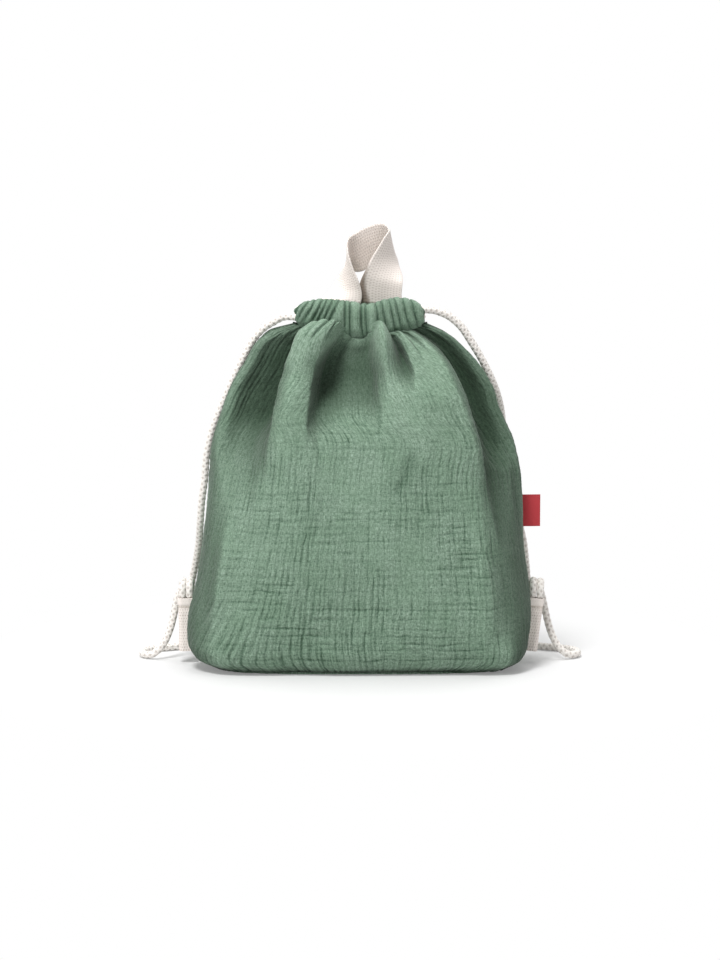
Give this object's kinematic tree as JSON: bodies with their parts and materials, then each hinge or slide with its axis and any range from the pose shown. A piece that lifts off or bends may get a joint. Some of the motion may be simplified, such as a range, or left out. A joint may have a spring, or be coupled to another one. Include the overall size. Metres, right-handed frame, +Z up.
{
  "type": "drawstring backpack",
  "caption": "Small crinkled-cloth drawstring backpack with a webbing carry loop, a gathered mouth and cord shoulder straps sewn into corner tabs.",
  "frame": {"origin": "centre of the base, on the surface that the bag stands on", "axes": "+Z up through the mouth, -Y out of the front panel, +X to the side with the label, seen from the front its right"},
  "size_m": [0.3369, 0.1305, 0.3296],
  "materials": {
    "gauze": "crinkled double gauze, matt",
    "lining": "smooth plain weave, matt",
    "cord": "braided cotton",
    "webbing": "herringbone cotton webbing",
    "thread": "sewing thread",
    "label": "woven satin label, bare"
  },
  "bodies": {
    "bag": {"front_panel": "gauze", "back_panel": "gauze", "base_panel": "gauze", "front_casing": "gauze", "back_casing": "gauze", "front_lining": "lining", "back_lining": "lining", "base_lining": "lining", "left_cord_run": "cord", "left_side_cord": "cord", "left_slack_cord": "cord", "left_side_cord_end": "cord", "left_slack_cord_end": "cord", "right_cord_run": "cord", "right_side_cord": "cord", "right_slack_cord": "cord", "right_side_cord_end": "cord", "right_slack_cord_end": "cord", "left_tab": "webbing", "right_tab": "webbing", "left_tab_stitching": "thread", "right_tab_stitching": "thread"},
    "handle": {"carry_handle": "webbing"},
    "label": {"side_label": "label"}
  },
  "joints": [
    {"name": "handle_swing", "type": "hinge", "parent": "bag", "child": "handle", "pos_m": [0, 0.013, 0.2727], "axis": [1, 0, 0], "range_deg": [-30, 65]},
    {"name": "label_flap", "type": "hinge", "parent": "bag", "child": "label", "pos_m": [0.1219, 0, 0.116], "axis": [0, 0, 1], "range_deg": [-70, 70]}
  ]
}
